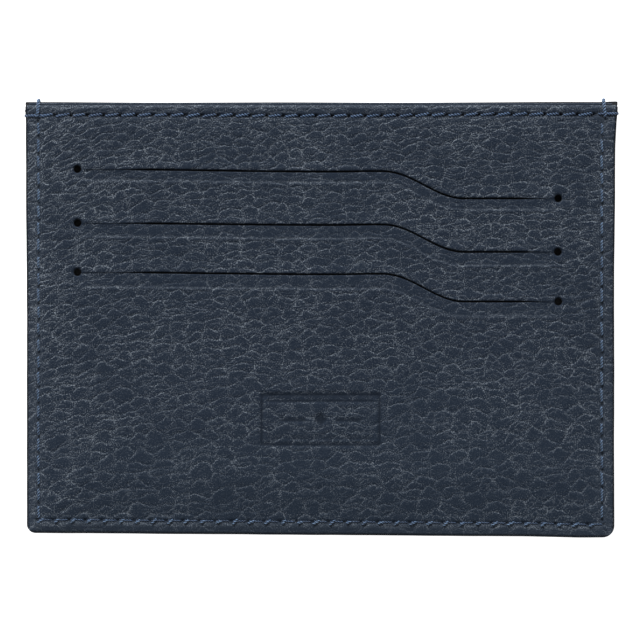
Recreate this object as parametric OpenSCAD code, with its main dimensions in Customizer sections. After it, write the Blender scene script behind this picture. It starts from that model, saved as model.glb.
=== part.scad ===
// Slim card holder: two leather panels with three stepped card slots each, a
// pocket between them that opens at the top, and a seam round the other three
// sides. Millimetres. X runs to the right seen from the front, Y runs towards
// the mouth and Z comes out of the front face. The origin is the middle of the
// footprint on the back face, so the holder lies on its back.

/* [Body] */
// Overall width, edge coating included
body_w = 107; // [104:0.5:112]
// Overall height, from the bottom edge to the back panel's mouth edge
body_h = 78.8; // [77:0.2:84]
// Radius of the two bottom corners
corner_r = 1.6; // [1:0.1:3]
// How far the front panel's mouth edge sits below the back panel's
mouth_step = 0.4; // [0:0.1:0.8]

/* [Layers] */
// Thickness of the leather panels
leather_t = 0.9; // [0.8:0.05:1.3]
// Thickness of a textile lining
lining_t = 0.18; // [0.12:0.01:0.3]
// Clearance of an empty card pocket
pocket_gap = 0.1; // [0.06:0.01:0.3]
// Clearance of the empty centre pocket
centre_gap = 0.4; // [0.2:0.05:1]
// Thickness of the edge coating
coat_t = 0.1; // [0.05:0.01:0.2]
// Height of the leather facing inside the mouth
facing_h = 8.8; // [6:0.1:9]

/* [Slots] */
// Distance between the two stop holes of a slot
slot_l = 87.6; // [86.6:0.1:89]
// Width of the cut
slot_w = 0.3; // [0.2:0.05:0.5]
// Diameter of the stop holes
stop_hole_d = 1.3; // [1:0.1:1.8]
// Sideways offset of the slots from the middle
slot_shift = -0.5; // [-1:0.1:1]
// Height of the top slot's long straight part
top_slot_y = 27.0; // [25:0.1:29]
// Height of the middle slot's long straight part
middle_slot_y = 17.2; // [15.5:0.1:19]
// Height of the bottom slot's long straight part
bottom_slot_y = 8.2; // [6:0.1:10]
// How far the thumb dip drops each slot
slot_drop = 5.05; // [3:0.05:6]
// Where the thumb dip starts
dip_x0 = 11.9; // [8:0.1:14]
// Where the thumb dip ends
dip_x1 = 25.9; // [22:0.1:30]
// Distance from each cut to the creased line below it: top, middle, bottom
crease_offset = [2.0, 2.5, 2.7]; // [1.5:0.1:3]
// Inside width of a card pocket
pocket_w = 90; // [89.5:0.1:94]
// Depth of a card pocket below the long part of its slot
pocket_depth = 45; // [42:0.5:46]

/* [Stitching] */
// Distance of the side seams from the edge
side_inset = 2.0; // [1.5:0.1:3]
// Distance of the bottom seam from the edge
bottom_inset = 2.3; // [1.5:0.1:3]
// Distance of the mouth stitching from the panel's top edge
hem_inset = 2.1; // [1.5:0.1:3]
// Stitch length
stitch_pitch = 2.95; // [2.5:0.05:4]
// Radius of the thread
thread_r = 0.2; // [0.15:0.01:0.25]

/* [Stamp] */
// Width of the blank stamped frame
stamp_w = 22; // [10:0.5:26]
// Height of the blank stamped frame
stamp_h = 9.6; // [6:0.1:12]
// Height of its middle above the origin
stamp_y = -18.6; // [-24:0.1:-14]

/* [Hidden] */
$fn = 48;

navy = [0.10, 0.14, 0.20];
charcoal = [0.09, 0.09, 0.10];
thread_blue = [0.20, 0.31, 0.50];
coat_navy = [0.05, 0.06, 0.08];

w = body_w - 2 * coat_t;             // width of the leather
x1 = w / 2;
y0 = -body_h / 2 + coat_t;           // bottom edge of the leather
y1 = body_h / 2;                     // mouth edge of the back panel
// Levels measured outwards from the middle plane; both halves use them.
z_c0 = centre_gap / 2;               // centre lining
z_c1 = z_c0 + lining_t;
z_l = [for (k = [0:3]) z_c1 + k * (lining_t + pocket_gap)]; // pocket linings, then the panel
z_p0 = z_l[3];                         // inner face of the panel
z_p1 = z_p0 + leather_t;               // outer face of the panel
body_t = 2 * z_p1;
slot_y = [top_slot_y, middle_slot_y, bottom_slot_y];
// Each lining hangs from a margin that is glued behind the upper lip of its
// slot, and its doubled side margins level it against the layer in front.
margin_h = 2.4;
lip = 1.1;
t_l = [for (k = [0:2]) slot_y[k] + lip + margin_h];
facing_y0 = max(y1 - facing_h, t_l[0] + 0.05);
centre_top = facing_y0 + 3;
pocket_y0 = [slot_y[0] - pocket_depth, slot_y[1] - pocket_depth, y0 + corner_r + 1.45];
seam_y = y0 + corner_r + 1.4;        // top of the margins in the bottom seam
hair = 0.02;                         // hairline between a sheet and its doubled margins
rim = 3.4;                           // width of the centre pocket's margins
chan_w = 0.62;
chan_d = 0.46;
crease_w = 0.3;
crease_d = 0.12;

// A slot's middle line at x, for a slot whose long part is at height y.
function dip(x) = x <= dip_x0 ? 0 : x >= dip_x1 ? 1 :
    (1 - cos(180 * (x - dip_x0) / (dip_x1 - dip_x0))) / 2;
function slot_at(x, y) = y - slot_drop * dip(x);
function slope_at(x) = (slot_at(x + 0.01, 0) - slot_at(x - 0.01, 0)) / 0.02;
function side_point(x, y, d) =
    let (m = slope_at(x), n = sqrt(1 + m * m)) [x - m * d / n, slot_at(x, y) + d / n];

function slot_xs(xa, xb) = concat([xa], [for (i = [0:14]) dip_x0 + (dip_x1 - dip_x0) * i / 14], [xb]);

// A ribbon of the width rw that follows a slot at the distance off, as a polygon.
module ribbon(y, off, rw, xa, xb) {
    xs = slot_xs(xa, xb);
    n = len(xs) - 1;
    polygon(concat([for (i = [0:n]) side_point(xs[i], y, off + rw / 2)],
                   [for (i = [0:n]) side_point(xs[n - i], y, off - rw / 2)]));
}

// The outline that every layer shares, from its bottom edge to the height yt.
module outline(yb, yt, grow = 0) {
    a = x1 + grow;
    r = corner_r + grow;
    if (yb <= y0 + 0.001) {
        translate([-a, y0 - grow + r]) square([2 * a, yt - y0 + grow - r]);
        translate([-a + r, y0 - grow]) square([2 * (a - r), r + 0.5]);
        for (s = [-1, 1]) translate([s * (a - r), y0 - grow + r]) circle(r = r);
    } else
        translate([-a, yb]) square([2 * a, yt - yb]);
}

module layer(yb, yt, za, zb) translate([0, 0, za]) linear_extrude(zb - za) outline(yb, yt);

// Places a half's pieces, which are drawn outwards from the middle plane.
// The back half is the front half turned round, so both panels are one cut.
module front_half() translate([0, 0, body_t / 2]) children();
module back_half() translate([0, 0, body_t / 2]) rotate([0, 180, 0]) children();

module panel(top, stamped) difference() {
    layer(y0, top, z_p0, z_p1);
    for (k = [0:2]) {
        y = slot_y[k];
        // the cut through the leather and its two stop holes
        translate([0, 0, z_p0 - 0.5]) linear_extrude(leather_t + 1)
            ribbon(y, 0, slot_w, slot_shift - slot_l / 2, slot_shift + slot_l / 2);
        translate([slot_shift - slot_l / 2, slot_at(slot_shift - slot_l / 2, y), z_p0 - 0.5])
            cylinder(d = stop_hole_d, h = leather_t + 1);
        translate([slot_shift + slot_l / 2, slot_at(slot_shift + slot_l / 2, y), z_p0 - 0.5])
            cylinder(d = stop_hole_d, h = leather_t + 1);
        // the creased line below the cut
        translate([0, 0, z_p1 - crease_d]) linear_extrude(1)
            ribbon(y, -crease_offset[k], crease_w, slot_shift - slot_l / 2 + 1, slot_shift + slot_l / 2 - 1);
    }
    // channels that the stitches lie in
    for (s = [-1, 1])
        translate([s * (x1 - side_inset) - chan_w / 2, y0 + bottom_inset - chan_w / 2, z_p1 - chan_d])
            cube([chan_w, top - y0, 1]);
    translate([-x1 + side_inset - chan_w / 2, y0 + bottom_inset - chan_w / 2, z_p1 - chan_d])
        cube([2 * (x1 - side_inset) + chan_w, chan_w, 1]);
    translate([-x1 - 1, top - hem_inset - chan_w / 2, z_p1 - chan_d]) cube([w + 2, chan_w, 1]);
    if (stamped) translate([0, stamp_y, z_p1 - crease_d]) linear_extrude(1) stamp();
}

// A blank stamped frame: a double line with a plain lozenge in the middle.
module bar_frame(a, b, line) difference() {
    square([a, b], center = true);
    square([a - 2 * line, b - 2 * line], center = true);
}
module stamp() {
    bar_frame(stamp_w, stamp_h, 0.55);
    bar_frame(stamp_w - 2.4, stamp_h - 2.4, 0.3);
    rotate(45) square(1.7, center = true);
    for (s = [-1, 1]) translate([s * 5, 0]) square([4.6, 0.45], center = true);
}

module mouth_facing(top) layer(facing_y0, top, z_c1, z_p0);

// A flat bar between two corners.
module bar(xa, xb, ya, yb, za, zb) translate([xa, ya, za]) cube([xb - xa, yb - ya, zb - za]);

// A card pocket's lining: one sheet behind the pocket, with doubled margins
// on all four sides. They lie on it as folds do, a hairline apart.
module pocket_lining(k) {
    xa = slot_shift - pocket_w / 2;
    xb = slot_shift + pocket_w / 2;
    // the sheet
    bar(xa + hair, xb - hair, pocket_y0[k] + hair, t_l[k] - margin_h - hair, z_l[k], z_l[k] + lining_t);
    // the top margin, glued behind the slot's upper lip
    bar(xa + hair, xb - hair, t_l[k] - margin_h, t_l[k], z_l[k], z_p0);
    // the side margins, under the next lining's and then against the panel
    next = k < 2 ? t_l[k + 1] : t_l[k];
    bar(-x1, xa, seam_y + 0.05, next, z_l[k], z_l[k + 1]);
    bar(xb, x1, seam_y + 0.05, next, z_l[k], z_l[k + 1]);
    if (k < 2) {
        bar(-x1, xa, next + 0.05, t_l[k], z_l[k], z_p0);
        bar(xb, x1, next + 0.05, t_l[k], z_l[k], z_p0);
        // the bottom margin, which closes the pocket
        bar(xa + hair, xb - hair, pocket_y0[k] - margin_h, pocket_y0[k], z_l[k], z_l[k + 1]);
    }
    // the margin in the bottom seam
    bar(-x1 + corner_r + 2, x1 - corner_r - 2, y0, seam_y, z_l[k], z_l[k + 1]);
}

// The centre pocket's lining: a sheet, and doubled margins that meet the other
// half's at the middle plane. The side margins run up between the facings.
module centre_lining() {
    bar(-x1 + rim + hair, x1 - rim - hair, seam_y + 0.05, centre_top, z_c0, z_c1);
    for (s = [-1, 1])
        bar(s > 0 ? x1 - rim : -x1, s > 0 ? x1 : -x1 + rim, seam_y + 0.05, y1 - mouth_step - 0.3, 0, z_c1);
    bar(-x1 + corner_r + 2, x1 - corner_r - 2, y0, seam_y, 0, z_c1);
}

// One stitch: a rod with round ends, along X, that lies in a channel.
module stitch(len_, r) {
    rotate([0, 90, 0]) cylinder(r = r, h = len_ - 2 * r, center = true, $fn = 24);
    for (s = [-1, 1]) translate([s * (len_ / 2 - r), 0, 0]) sphere(r = r, $fn = 24);
}
module stitch_row(xa, xb, y, z, r) {
    n = floor((xb - xa) / stitch_pitch);
    for (i = [0:n - 1])
        translate([(xa + xb) / 2 + (i - (n - 1) / 2) * stitch_pitch, y, z]) stitch(stitch_pitch * 0.78, r);
}
module stitch_column(ya, yb, x, z, r) {
    n = floor((yb - ya) / stitch_pitch);
    for (i = [0:n - 1])
        translate([x, (ya + yb) / 2 + (i - (n - 1) / 2) * stitch_pitch, z])
            rotate([0, 0, 90]) stitch(stitch_pitch * 0.78, r);
}
thread_z = z_p1 - chan_d + thread_r + 0.02;
module mouth_thread(top) stitch_row(-x1 + side_inset + 0.6, x1 - side_inset - 0.6, top - hem_inset, thread_z, thread_r);
module seam_thread(top) {
    for (s = [-1, 1])
        stitch_column(y0 + bottom_inset + 0.4, top - 0.2, s * (x1 - side_inset), thread_z, thread_r);
    stitch_row(-x1 + side_inset + 0.6, x1 - side_inset - 0.6, y0 + bottom_inset, thread_z, thread_r);
}
module edge_coating() translate([0, 0, 0]) linear_extrude(body_t) difference() {
    outline(y0, y1 - mouth_step, coat_t);
    outline(y0, y1 + 5);
}

color(navy) front_half() panel(y1 - mouth_step, true);  // front_panel
color(navy) back_half() panel(y1, false);  // back_panel
color(navy) front_half() mouth_facing(y1 - mouth_step);  // front_mouth_facing
color(navy) back_half() mouth_facing(y1);  // back_mouth_facing
color(charcoal) front_half() pocket_lining(0);  // front_top_pocket_lining
color(charcoal) front_half() pocket_lining(1);  // front_middle_pocket_lining
color(charcoal) front_half() pocket_lining(2);  // front_bottom_pocket_lining
color(charcoal) back_half() pocket_lining(0);  // back_top_pocket_lining
color(charcoal) back_half() pocket_lining(1);  // back_middle_pocket_lining
color(charcoal) back_half() pocket_lining(2);  // back_bottom_pocket_lining
color(charcoal) front_half() centre_lining();  // centre_pocket_front_lining
color(charcoal) back_half() centre_lining();  // centre_pocket_back_lining
color(thread_blue) front_half() mouth_thread(y1 - mouth_step);  // front_mouth_thread
color(thread_blue) back_half() mouth_thread(y1);  // back_mouth_thread
color(thread_blue) front_half() seam_thread(y1 - mouth_step);  // front_seam_thread
color(thread_blue) back_half() seam_thread(y1);  // back_seam_thread
color(coat_navy) edge_coating();
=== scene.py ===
import math
import numpy as np
import bpy
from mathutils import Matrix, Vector
from mathutils.geometry import delaunay_2d_cdt


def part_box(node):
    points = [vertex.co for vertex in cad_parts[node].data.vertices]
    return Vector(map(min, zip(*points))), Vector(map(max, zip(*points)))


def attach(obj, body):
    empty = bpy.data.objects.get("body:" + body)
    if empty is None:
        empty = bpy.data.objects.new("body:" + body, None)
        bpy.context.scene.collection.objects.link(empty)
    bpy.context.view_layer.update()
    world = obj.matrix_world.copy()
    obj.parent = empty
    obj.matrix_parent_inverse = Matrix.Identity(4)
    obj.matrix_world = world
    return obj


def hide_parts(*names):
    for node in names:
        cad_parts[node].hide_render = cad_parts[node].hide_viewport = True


# A slim leather card holder lying on its back. Lengths in this script are
# millimetres until a mesh is made, when they become metres.

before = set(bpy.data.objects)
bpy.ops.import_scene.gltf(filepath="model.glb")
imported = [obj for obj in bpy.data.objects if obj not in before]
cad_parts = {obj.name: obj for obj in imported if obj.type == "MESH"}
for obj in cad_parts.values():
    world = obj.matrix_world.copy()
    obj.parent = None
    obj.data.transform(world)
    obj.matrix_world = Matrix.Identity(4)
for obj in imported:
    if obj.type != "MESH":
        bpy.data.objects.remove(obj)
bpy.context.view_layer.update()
MM = 0.001
lo_f, hi_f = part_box("front_panel")
lo_b, hi_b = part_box("back_panel")
Z_FRONT, Z_FRONT_IN = hi_f.z / MM, lo_f.z / MM      # outer and inner face of the front panel
Z_BACK, Z_BACK_IN = lo_b.z / MM, hi_b.z / MM
Z_MID = (Z_FRONT + Z_BACK) / 2
Y_TOP_F, Y_TOP_B = hi_f.y / MM, hi_b.y / MM         # mouth edges
X_HALF = hi_f.x / MM
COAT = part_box("edge_coating")[1].x / MM - X_HALF

# ---------------------------------------------------------------- camera
scene = bpy.context.scene
cam_data = bpy.data.cameras.new("camera")
cam = bpy.data.objects.new("camera", cam_data)
scene.collection.objects.link(cam)
cam_h = 0.9
cam.location = (-0.00009, -0.00026, cam_h)
cam.rotation_euler = (0, 0, 0)
cam_data.sensor_width = 36
cam_data.lens = 36 * (cam_h - Z_FRONT * MM) / 0.11672
cam_data.clip_start = 0.01
scene.camera = cam


# ---------------------------------------------------------------- node helper
class Graph:
    """Builds nodes in a material or geometry tree, so both hold the same grain."""

    def __init__(self, tree):
        self.t = tree

    def n(self, kind, **props):
        node = self.t.nodes.new(kind)
        for k, v in props.items():
            setattr(node, k, v)
        return node

    def put(self, socket, value):
        if isinstance(value, bpy.types.NodeSocket):
            self.t.links.new(value, socket)
        elif value is not None:
            socket.default_value = value

    def math(self, op, a, b=None, c=None, clamp=False):
        node = self.n("ShaderNodeMath", operation=op, use_clamp=clamp)
        self.put(node.inputs[0], a)
        self.put(node.inputs[1], b)
        if c is not None:
            self.put(node.inputs[2], c)
        return node.outputs[0]

    def vmath(self, op, a, b=None, scale=None):
        node = self.n("ShaderNodeVectorMath", operation=op)
        self.put(node.inputs[0], a)
        if b is not None:
            self.put(node.inputs[1], b)
        if scale is not None:
            self.put(node.inputs["Scale"], scale)
        return node.outputs[0]

    def sep(self, v):
        node = self.n("ShaderNodeSeparateXYZ")
        self.put(node.inputs[0], v)
        return node.outputs

    def comb(self, x, y, z=0.0):
        node = self.n("ShaderNodeCombineXYZ")
        for i, v in enumerate((x, y, z)):
            self.put(node.inputs[i], v)
        return node.outputs[0]

    def noise(self, v, scale, detail=2.0, rough=0.5, dist=0.0, color=False, dim="2D"):
        node = self.n("ShaderNodeTexNoise", noise_dimensions=dim)
        self.put(node.inputs["Vector"], v)
        self.put(node.inputs["Scale"], scale)
        self.put(node.inputs["Detail"], detail)
        self.put(node.inputs["Roughness"], rough)
        self.put(node.inputs["Distortion"], dist)
        return node.outputs[1 if color else 0]

    def voronoi(self, v, feature="F1", rand=1.0, smooth=None, dim="2D"):
        node = self.n("ShaderNodeTexVoronoi", feature=feature, voronoi_dimensions=dim)
        self.put(node.inputs["Vector"], v)
        self.put(node.inputs["Scale"], 1.0)
        self.put(node.inputs["Randomness"], rand)
        if smooth is not None:
            self.put(node.inputs["Smoothness"], smooth)
        return node.outputs

    def ramp(self, x, a, b, lo=0.0, hi=1.0, kind="SMOOTHSTEP"):
        node = self.n("ShaderNodeMapRange", interpolation_type=kind, clamp=True)
        self.put(node.inputs[0], x)
        for i, v in enumerate((a, b, lo, hi)):
            self.put(node.inputs[i + 1], v)
        return node.outputs[0]


TILT = 6                # degrees that the rows of grain climb to the right


def grain_height(g, p, wide=False):
    """The pebble grain at p, a 2D place in mm: its height in mm, how near a place is to a crease, and a mask along the
    creases' upper rims for a painted highlight. wide softens it for the mesh's grid."""
    x, y, _ = g.sep(p)
    # pebbles are finer towards the mouth, and their rows climb a little to the right
    y2 = g.math("MULTIPLY", y, g.math("ADD", g.math("MULTIPLY", y, 0.0030), 1.0))
    x2 = g.math("MULTIPLY", x, g.math("ADD", g.math("MULTIPLY", y, 0.0030), 1.0))
    far = g.math("MAXIMUM", g.math("SUBTRACT", -27.0, x), 0.0)
    y2 = g.math("ADD", y2, g.math("MULTIPLY", g.math("MULTIPLY", far, far), g.ramp(y, -30.0, 30.0, 0.001, 0.010, "LINEAR")))
    ca, sa = math.cos(math.radians(TILT)), math.sin(math.radians(TILT))
    u = g.math("ADD", g.math("MULTIPLY", x2, ca), g.math("MULTIPLY", y2, sa))
    v = g.math("SUBTRACT", g.math("MULTIPLY", y2, ca), g.math("MULTIPLY", x2, sa))
    flat = g.comb(u, v)
    w1 = g.vmath("SUBTRACT", g.noise(flat, 0.13, 1.0, color=True), (0.5, 0.5, 0.5))
    w2 = g.vmath("SUBTRACT", g.noise(flat, 0.62, 1.0, color=True), (0.5, 0.5, 0.5))
    q = g.vmath("ADD", flat, g.vmath("ADD", g.vmath("SCALE", w1, scale=2.2), g.vmath("SCALE", w2, scale=0.62)))
    if not wide:
        w3 = g.vmath("SUBTRACT", g.noise(flat, 1.9, 1.0, color=True), (0.5, 0.5, 0.5))
        q = g.vmath("ADD", q, g.vmath("SCALE", w3, scale=0.34))

    def cells(place, wx, wy, soft, bow, low=0.2):
        """Overlapping scales, each with an upper rim bowed upwards that falls away:
        (drop 0..1 at the rims, distance from a rim, how much of a rim it is)."""
        c = g.vmath("MULTIPLY", place, (1 / wx, 1 / wy, 0.0))
        first = g.voronoi(c, "F1", 0.85)["Position"]
        dx, dy, _ = g.sep(g.vmath("SUBTRACT", c, first))
        lift = g.math("MULTIPLY", g.math("MINIMUM", g.math("ABSOLUTE", dx), 0.62), bow)
        c2 = g.vmath("ADD", c, g.comb(0.0, g.math("MULTIPLY", lift, g.ramp(dy, -0.25, 0.05))))
        edge = g.voronoi(c2, "DISTANCE_TO_EDGE", 0.85)[0]
        second = g.voronoi(c2, "F1", 0.85)["Position"]
        apart = g.n("ShaderNodeVectorMath", operation="DISTANCE")
        g.put(apart.inputs[0], first)
        g.put(apart.inputs[1], second)
        beyond = g.ramp(apart.outputs["Value"], 0.01, 0.02)
        up = g.ramp(dy, -0.10, 0.20, low, 1.0)
        rim = g.ramp(edge, 0.0, g.math("ADD", soft, g.math("MULTIPLY", beyond, 0.30)), 1.0, 0.0)
        return g.math("MULTIPLY", rim, up), edge, up

    drop, edge, up = cells(q, 3.4, 1.64, 0.28 if wide else 0.15, 0.62)
    drop2, edge2, up2 = cells(g.vmath("ADD", q, (31.7, 12.3, 0.0)), 1.45, 0.82, 0.34 if wide else 0.26, 0.5)
    strength = g.ramp(g.noise(flat, 0.42, 2.0), 0.36, 0.60, 0.45, 1.1)
    mask2 = g.ramp(g.noise(flat, 0.33, 2.0), 0.42, 0.60, 0.05, 1.0)
    # livelier towards the mouth and the left
    busy = g.math("ADD", g.ramp(y, -34.0, 34.0, 0.72, 1.12, "LINEAR"), g.ramp(x, -52.0, -20.0, 0.12, 0.0))
    h = g.math("MULTIPLY", g.math("MULTIPLY", drop, strength), -0.072)
    h = g.math("ADD", h, g.math("MULTIPLY", g.math("MULTIPLY", drop2, mask2), -0.038))
    h = g.math("ADD", h, g.math("MULTIPLY", g.math("SUBTRACT", g.noise(flat, 0.45, 2.0), 0.5), 0.05))
    if not wide:
        s = g.vmath("MULTIPLY", flat, (1.0, 0.95, 1.0))
        micro = g.math("SUBTRACT", g.noise(s, 4.0, 2.0, 0.7), 0.5)
        calm = g.ramp(edge, 0.04, 0.36, 1.0, 0.45)
        h = g.math("ADD", h, g.math("MULTIPLY", g.math("MULTIPLY", micro, calm), 0.11))
    h = g.math("MULTIPLY", h, busy)
    # masks along the upper rims of the creases, the side the top light falls on, used for a painted highlight
    line = g.math("MULTIPLY", g.math("MULTIPLY", g.ramp(edge, 0.010, 0.080, 1.0, 0.0), up), strength)
    line2 = g.math("MULTIPLY", g.math("MULTIPLY", g.ramp(edge2, 0.02, 0.19, 1.0, 0.0), up2), mask2)
    return h, edge, g.math("MAXIMUM", line, g.math("MULTIPLY", line2, 0.6))


def run_on_points(points, build):
    """Evaluates build(graph, position in mm) at each point with a geometry node tree."""
    mesh = bpy.data.meshes.new("tmp_points")
    mesh.from_pydata([tuple(p) for p in points], [], [])
    obj = bpy.data.objects.new("tmp_points", mesh)
    scene.collection.objects.link(obj)
    tree = bpy.data.node_groups.new("tmp_tree", "GeometryNodeTree")
    tree.interface.new_socket("Geometry", in_out="INPUT", socket_type="NodeSocketGeometry")
    tree.interface.new_socket("Geometry", in_out="OUTPUT", socket_type="NodeSocketGeometry")
    g = Graph(tree)
    gin, gout = g.n("NodeGroupInput"), g.n("NodeGroupOutput")
    pos = g.n("GeometryNodeInputPosition").outputs[0]
    value = build(g, pos)
    store = g.n("GeometryNodeStoreNamedAttribute", data_type="FLOAT", domain="POINT")
    g.put(store.inputs["Geometry"], gin.outputs[0])
    store.inputs["Name"].default_value = "out"
    g.put([s for s in store.inputs if s.name == "Value" and s.enabled][0], value)
    g.put(gout.inputs[0], store.outputs[0])
    mod = obj.modifiers.new("nodes", "NODES")
    mod.node_group = tree
    bpy.context.view_layer.update()
    ev = obj.evaluated_get(bpy.context.evaluated_depsgraph_get())
    out = np.zeros(len(points), np.float32)
    ev.data.attributes["out"].data.foreach_get("value", out)
    bpy.data.objects.remove(obj)
    bpy.data.meshes.remove(mesh)
    bpy.data.node_groups.remove(tree)
    return out.astype(float)


# ---------------------------------------------------------------- the outline and the layers
def step(x, a, b):
    t = np.clip((x - a) / (b - a), 0, 1)
    return t * t * (3 - 2 * t)


def bell(d, w):
    return np.exp(-(d / w) ** 2)


def wave(x, seed, scale, n=5):
    """A smooth repeatable wobble of about unit size."""
    r = np.random.RandomState(seed)
    out = 0
    for _ in range(n):
        out = out + np.sin(x / scale * (0.5 + 2.2 * r.rand()) + 6.28 * r.rand()) * (0.4 + 0.6 * r.rand())
    return out / n * 1.6


def edge_left(y):
    return -X_HALF - 0.12 - 0.18 * step(y, 2, 26) - 0.1 * step(y, 36.2, 37.4) + 0.03 * wave(y, 1, 4)


def edge_right(y):
    return X_HALF + 0.15 + 0.18 * step(y, 8, 27) + 0.30 * step(y, 30, 38.2) + 0.16 * step(y, 35.6, 38.4) + 0.03 * wave(y, 2, 4)


def edge_bottom(x):
    return -39.42 - 0.0072 * x - 0.10 * step(x, 38, 47) + 0.03 * wave(x, 3, 6)


def edge_top_front(x):
    return Y_TOP_F + 0.06 * wave(x, 4, 16) + 0.02 * wave(x, 5, 2.5)


def edge_top_back(x):
    return Y_TOP_B + 0.16 + 0.05 * wave(x, 6, 14) + 0.09 * step(np.abs(x), 30, 48) + 0.12 * step(x, 50, 53)


BOTTOM_IN, HEM_IN = 2.35, 1.72
R_CORNER = {-1: 1.5, 1: 2.05}       # the two bottom corners
BASE_B = float(edge_bottom(0))


def crush(x, y):
    """How much of its full thickness the stack keeps at a place: the seams pull it in."""
    d = np.minimum(np.minimum(x + X_HALF, X_HALF - x), y - BASE_B)
    k = 0.80 + 0.20 * step(d, 0.5, 12.0)
    k = k - 0.05 * step(-d, -2.6, -0.4)
    k = k - 0.06 * step(y, 33, 38.5) * (0.5 + 0.5 * step(np.abs(x), 20, 50))
    return k


def slot_line(k, x):
    """The middle line of the front's slot k, seen from the front."""
    left, mid, right = ((27.25, 26.78, 21.90), (17.42, 17.05, 12.15), (8.45, 8.05, 3.08))[k]
    y = left + (mid - left) * step(x, -44, 2) + 0.1 * bell(x - 9.5, 4)
    dip = 0.5 - 0.5 * np.cos(np.pi * np.clip((x - 11.6) / 14.6, 0, 1))
    return y + (right - mid) * dip


HOLES = ((-44.35, 43.35), (-44.30, 43.30), (-44.33, 43.38))
R_HOLE = 0.66
CREASE_OFF = (2.0, 2.45, 2.65)


def slot_half_width(k, x):
    """Half the opening of the cut, which is a hairline at its ends, and the round stop holes."""
    xa, xb = HOLES[k]
    taper = step(x, xa + 5, xa + 15) * (1 - step(x, xb - 8, xb - 1.5))
    o = 0.005 + 0.120 * taper + (0.016 * wave(x, 20 + k, 3) + 0.012 * wave(x, 24 + k, 0.7)) * taper
    for xc in (xa, xb):
        o = np.maximum(o, np.sqrt(np.clip(R_HOLE ** 2 - (x - xc) ** 2, 0, None)))
    return np.where((x <= xa - R_HOLE + 1e-6) | (x >= xb + R_HOLE - 1e-6), 0, o)


def grown(a, b, pitch, dense):
    """Positions from a to b at about pitch, closer in each (middle, half width, pitch) of dense."""
    out, x = [a], a
    while x < b:
        s = pitch
        for m, hw, p in dense:
            d = abs(x - m)
            if d < hw:
                s = min(s, p)
            elif d < hw + 1.2:
                s = min(s, p + (pitch - p) * (d - hw) / 1.2)
        x += s
        out.append(x)
    out = np.array(out)
    return a + (out - a) * (b - a) / (out[-1] - a)


def snap(values, wanted):
    for w in wanted:
        i = int(np.argmin(np.abs(values - w)))
        values[i] = w
    return np.sort(values)


# ---------------------------------------------------------------- stitches
def hem_line(top_fn, x):
    """The mouth's stitch line, which wanders a little."""
    return top_fn(x) - HEM_IN - 0.16 - 0.12 * bell(x + 2, 22) + 0.15 * step(x, 16, 38)


def stitch_places(top_fn):
    """Every visible stitch of a face as (kind, x, y, direction, length)."""
    out = []
    pitch = 2.98
    xs = np.arange(-50.0, 51.5, pitch)
    for i, x in enumerate(xs):
        out.append(("hem", x, float(hem_line(top_fn, x)), 0.17, 2.35))
    for s in (-1, 1):
        ya, yb = BASE_B + BOTTOM_IN + 0.25, float(top_fn(s * 51.4)) - HEM_IN - 1.2
        n = int((yb - ya) / 2.95)
        for i in range(n):
            y = ya + (yb - ya) * (i + 0.5) / n
            out.append(("side", side_line(s, y), y, math.pi / 2, 2.25))
    xs = np.linspace(-50.3, 50.3, 35)
    for i, x in enumerate(xs):
        out.append(("bottom", x, float(bottom_line(x)), -0.02, 2.3))
    return out


def side_line(s, y):
    if s < 0:
        return float(-51.48 + 0.05 * wave(np.array(y), 31, 9) + 0.04 * wave(np.array(y), 34, 1.3))
    return float(51.32 + 0.25 * step(np.array(y), 33, 38) + 0.07 * wave(np.array(y), 32, 9) + 0.05 * wave(np.array(y), 35, 1.3))


def bottom_line(x):
    return edge_bottom(x) + BOTTOM_IN + 0.04 * wave(x, 33, 8)


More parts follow.
